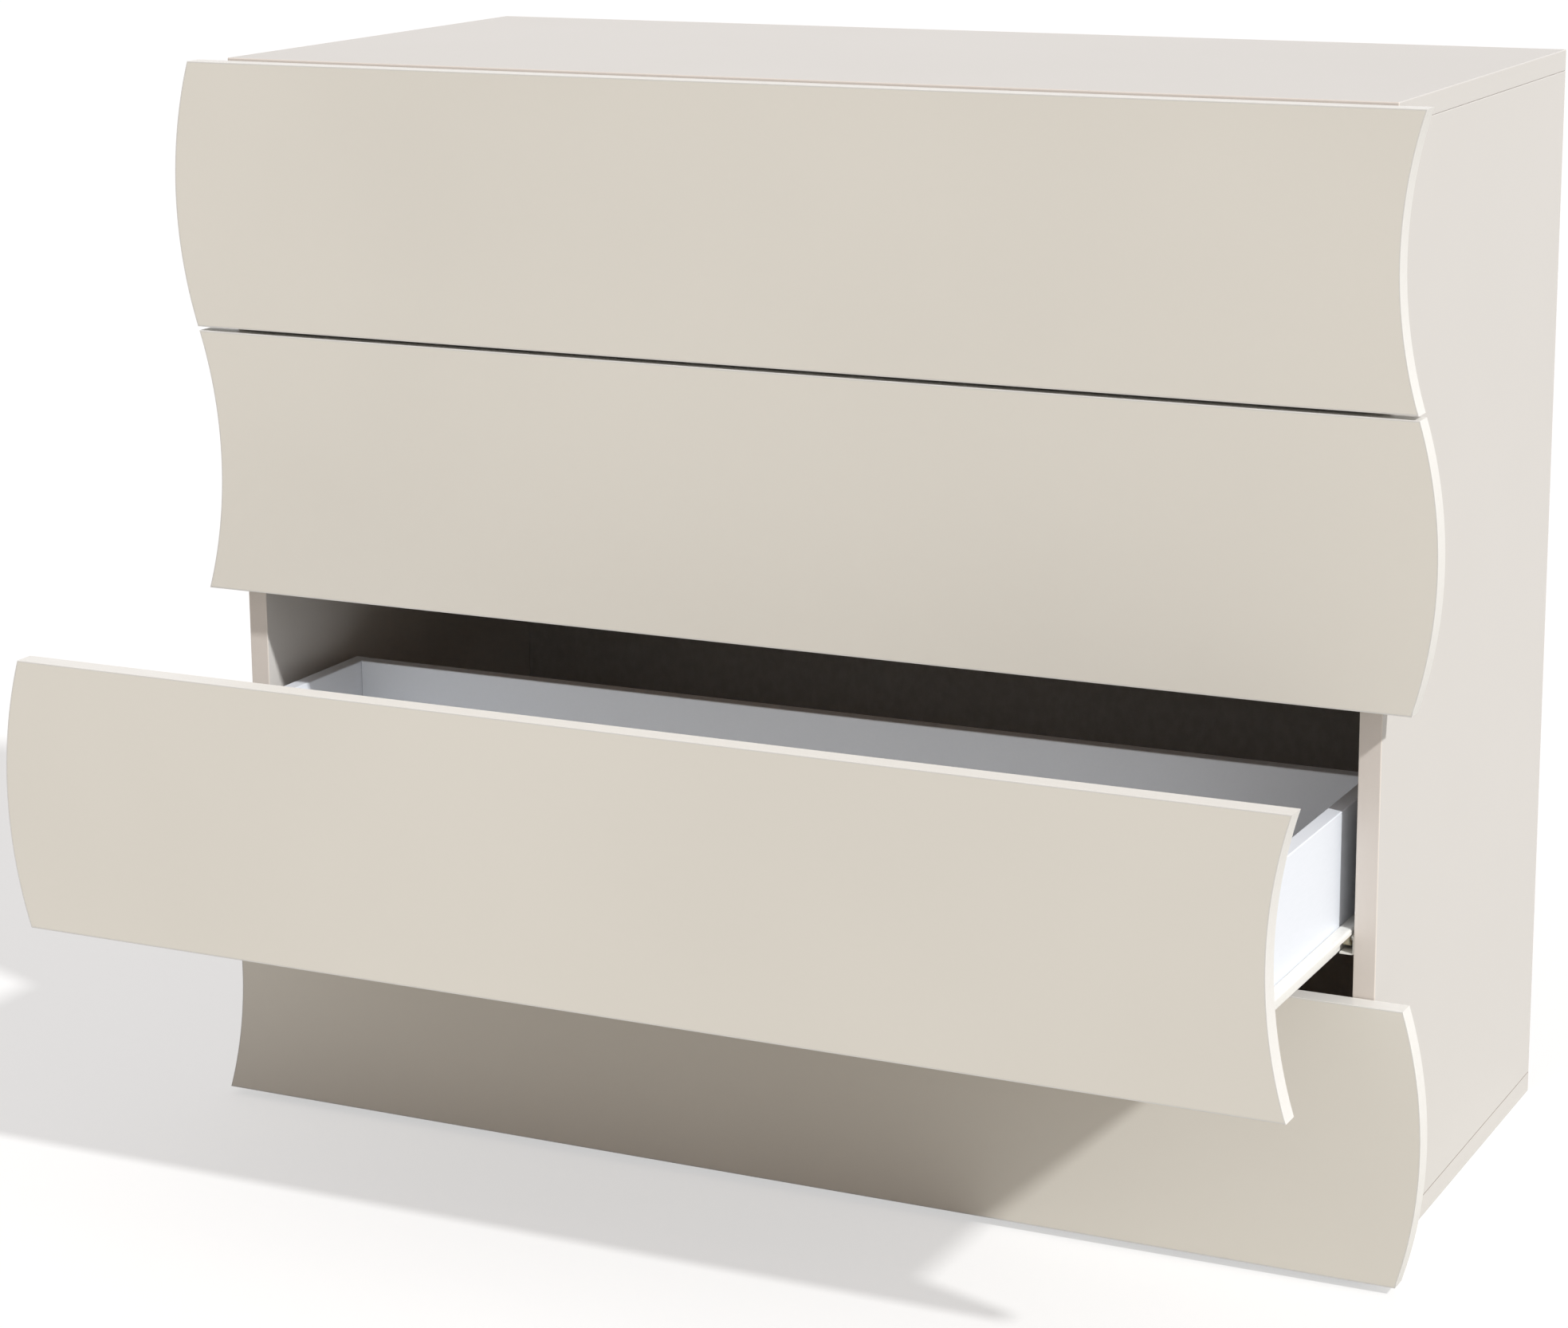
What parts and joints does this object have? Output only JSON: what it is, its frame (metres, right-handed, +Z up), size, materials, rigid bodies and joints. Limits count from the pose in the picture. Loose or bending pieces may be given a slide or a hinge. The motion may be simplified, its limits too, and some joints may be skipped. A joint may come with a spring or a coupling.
{
  "type": "chest of drawers",
  "caption": "Wide chest of drawers with flat, handle-less fronts whose ends are cut as one continuous wave, and drawer boxes that run on steel roller runners.",
  "frame": {"origin": "the middle of the carcass's underside, on the floor, half way between the front and rear edges of the side panels", "axes": "+X to the right as seen from the front, +Y to the back, +Z up; the drawers open along -Y"},
  "size_m": [1.0018, 0.687, 0.83],
  "materials": {
    "front_lacquer": "satin sand lacquer on board",
    "front_edge_band": "satin off-white edge band",
    "carcass_laminate": "satin light greige laminate on particleboard",
    "back_board": "matt grey hardboard",
    "drawer_laminate": "satin white laminate on particleboard",
    "drawer_bottom_board": "white coated hardboard",
    "runner_steel": "white epoxy on steel",
    "roller_nylon": "natural nylon",
    "zinc_fittings": "zinc plated"
  },
  "bodies": {
    "carcass": {"top_panel": "carcass_laminate", "bottom_panel": "carcass_laminate", "left_side_panel": "carcass_laminate", "right_side_panel": "carcass_laminate", "back_panel": "back_board", "top_fittings": "zinc_fittings", "bottom_screws": "zinc_fittings", "rail_screws": "zinc_fittings", "rail_1_left": "runner_steel", "rail_1_right": "runner_steel", "rail_2_left": "runner_steel", "rail_2_right": "runner_steel", "rail_3_left": "runner_steel", "rail_3_right": "runner_steel", "rail_4_left": "runner_steel", "rail_4_right": "runner_steel"},
    "drawer_1": {"drawer_1_front": "front_lacquer", "drawer_1_edge_band": "front_edge_band", "drawer_1_left_side": "drawer_laminate", "drawer_1_right_side": "drawer_laminate", "drawer_1_back": "drawer_laminate", "drawer_1_bottom": "drawer_bottom_board", "drawer_1_left_runner": "runner_steel", "drawer_1_right_runner": "runner_steel", "drawer_1_fittings": "zinc_fittings"},
    "front_rollers_1": {"front_rollers_1": "roller_nylon"},
    "rear_rollers_1": {"drawer_1_rear_rollers": "roller_nylon"},
    "drawer_2": {"drawer_2_front": "front_lacquer", "drawer_2_edge_band": "front_edge_band", "drawer_2_left_side": "drawer_laminate", "drawer_2_right_side": "drawer_laminate", "drawer_2_back": "drawer_laminate", "drawer_2_bottom": "drawer_bottom_board", "drawer_2_left_runner": "runner_steel", "drawer_2_right_runner": "runner_steel", "drawer_2_fittings": "zinc_fittings"},
    "front_rollers_2": {"front_rollers_2": "roller_nylon"},
    "rear_rollers_2": {"drawer_2_rear_rollers": "roller_nylon"},
    "drawer_3": {"drawer_3_front": "front_lacquer", "drawer_3_edge_band": "front_edge_band", "drawer_3_left_side": "drawer_laminate", "drawer_3_right_side": "drawer_laminate", "drawer_3_back": "drawer_laminate", "drawer_3_bottom": "drawer_bottom_board", "drawer_3_left_runner": "runner_steel", "drawer_3_right_runner": "runner_steel", "drawer_3_fittings": "zinc_fittings"},
    "front_rollers_3": {"front_rollers_3": "roller_nylon"},
    "rear_rollers_3": {"drawer_3_rear_rollers": "roller_nylon"},
    "drawer_4": {"drawer_4_front": "front_lacquer", "drawer_4_edge_band": "front_edge_band", "drawer_4_left_side": "drawer_laminate", "drawer_4_right_side": "drawer_laminate", "drawer_4_back": "drawer_laminate", "drawer_4_bottom": "drawer_bottom_board", "drawer_4_left_runner": "runner_steel", "drawer_4_right_runner": "runner_steel", "drawer_4_fittings": "zinc_fittings"},
    "front_rollers_4": {"front_rollers_4": "roller_nylon"},
    "rear_rollers_4": {"drawer_4_rear_rollers": "roller_nylon"}
  },
  "joints": [
    {"name": "drawer_1_slide", "type": "slide", "parent": "carcass", "child": "drawer_1", "axis": [0, -1, 0], "range_m": [0, 0.263]},
    {"name": "front_rollers_1_spin", "type": "hinge", "parent": "carcass", "child": "front_rollers_1", "pos_m": [0, -0.202, 0.66225], "axis": [1, 0, 0], "continuous": true},
    {"name": "rear_rollers_1_spin", "type": "hinge", "parent": "drawer_1", "child": "rear_rollers_1", "pos_m": [0, 0.13, 0.65825], "axis": [1, 0, 0], "continuous": true},
    {"name": "drawer_2_slide", "type": "slide", "parent": "carcass", "child": "drawer_2", "axis": [0, -1, 0], "range_m": [0, 0.263]},
    {"name": "front_rollers_2_spin", "type": "hinge", "parent": "carcass", "child": "front_rollers_2", "pos_m": [0, -0.202, 0.456], "axis": [1, 0, 0], "continuous": true},
    {"name": "rear_rollers_2_spin", "type": "hinge", "parent": "drawer_2", "child": "rear_rollers_2", "pos_m": [0, 0.13, 0.452], "axis": [1, 0, 0], "continuous": true},
    {"name": "drawer_3_slide", "type": "slide", "parent": "carcass", "child": "drawer_3", "axis": [0, -1, 0], "range_m": [-0.246, 0.017]},
    {"name": "front_rollers_3_spin", "type": "hinge", "parent": "carcass", "child": "front_rollers_3", "pos_m": [0, -0.202, 0.24975], "axis": [1, 0, 0], "continuous": true},
    {"name": "rear_rollers_3_spin", "type": "hinge", "parent": "drawer_3", "child": "rear_rollers_3", "pos_m": [0, -0.116, 0.24575], "axis": [1, 0, 0], "continuous": true},
    {"name": "drawer_4_slide", "type": "slide", "parent": "carcass", "child": "drawer_4", "axis": [0, -1, 0], "range_m": [0, 0.263]},
    {"name": "front_rollers_4_spin", "type": "hinge", "parent": "carcass", "child": "front_rollers_4", "pos_m": [0, -0.202, 0.0435], "axis": [1, 0, 0], "continuous": true},
    {"name": "rear_rollers_4_spin", "type": "hinge", "parent": "drawer_4", "child": "rear_rollers_4", "pos_m": [0, 0.13, 0.0395], "axis": [1, 0, 0], "continuous": true}
  ],
  "couplings": [
    {"joint": "front_rollers_1_spin", "follows": "drawer_1_slide", "rad_per_m": 153.85},
    {"joint": "rear_rollers_1_spin", "follows": "drawer_1_slide", "rad_per_m": 192.31},
    {"joint": "front_rollers_2_spin", "follows": "drawer_2_slide", "rad_per_m": 153.85},
    {"joint": "rear_rollers_2_spin", "follows": "drawer_2_slide", "rad_per_m": 192.31},
    {"joint": "front_rollers_3_spin", "follows": "drawer_3_slide", "rad_per_m": 153.85},
    {"joint": "rear_rollers_3_spin", "follows": "drawer_3_slide", "rad_per_m": 192.31},
    {"joint": "front_rollers_4_spin", "follows": "drawer_4_slide", "rad_per_m": 153.85},
    {"joint": "rear_rollers_4_spin", "follows": "drawer_4_slide", "rad_per_m": 192.31}
  ]
}
